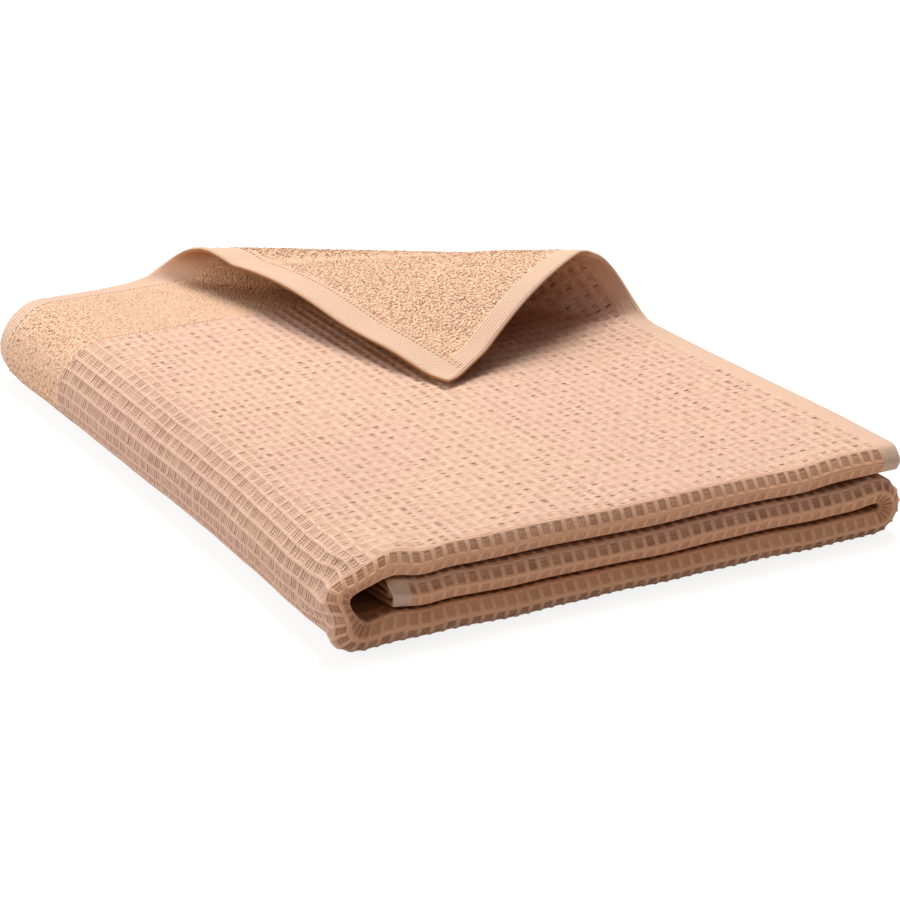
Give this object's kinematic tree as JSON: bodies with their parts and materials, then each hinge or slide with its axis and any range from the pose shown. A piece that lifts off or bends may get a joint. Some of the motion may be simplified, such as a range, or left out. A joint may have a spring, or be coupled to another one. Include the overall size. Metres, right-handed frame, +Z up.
{
  "type": "bath towel",
  "caption": "Bath towel with a waffle-weave face and a looped back, folded into a flat stack with its top corner turned over.",
  "frame": {"origin": "middle of the folded towel's outline, on the surface it lies on", "axes": "+Z up, +Y along the folded towel from its front edge to its back edge, +X across it to the right"},
  "size_m": [0.311, 0.4138, 0.0882],
  "materials": {
    "cotton": "matt"
  },
  "bodies": {
    "root": {"towel": "cotton"}
  },
  "joints": []
}
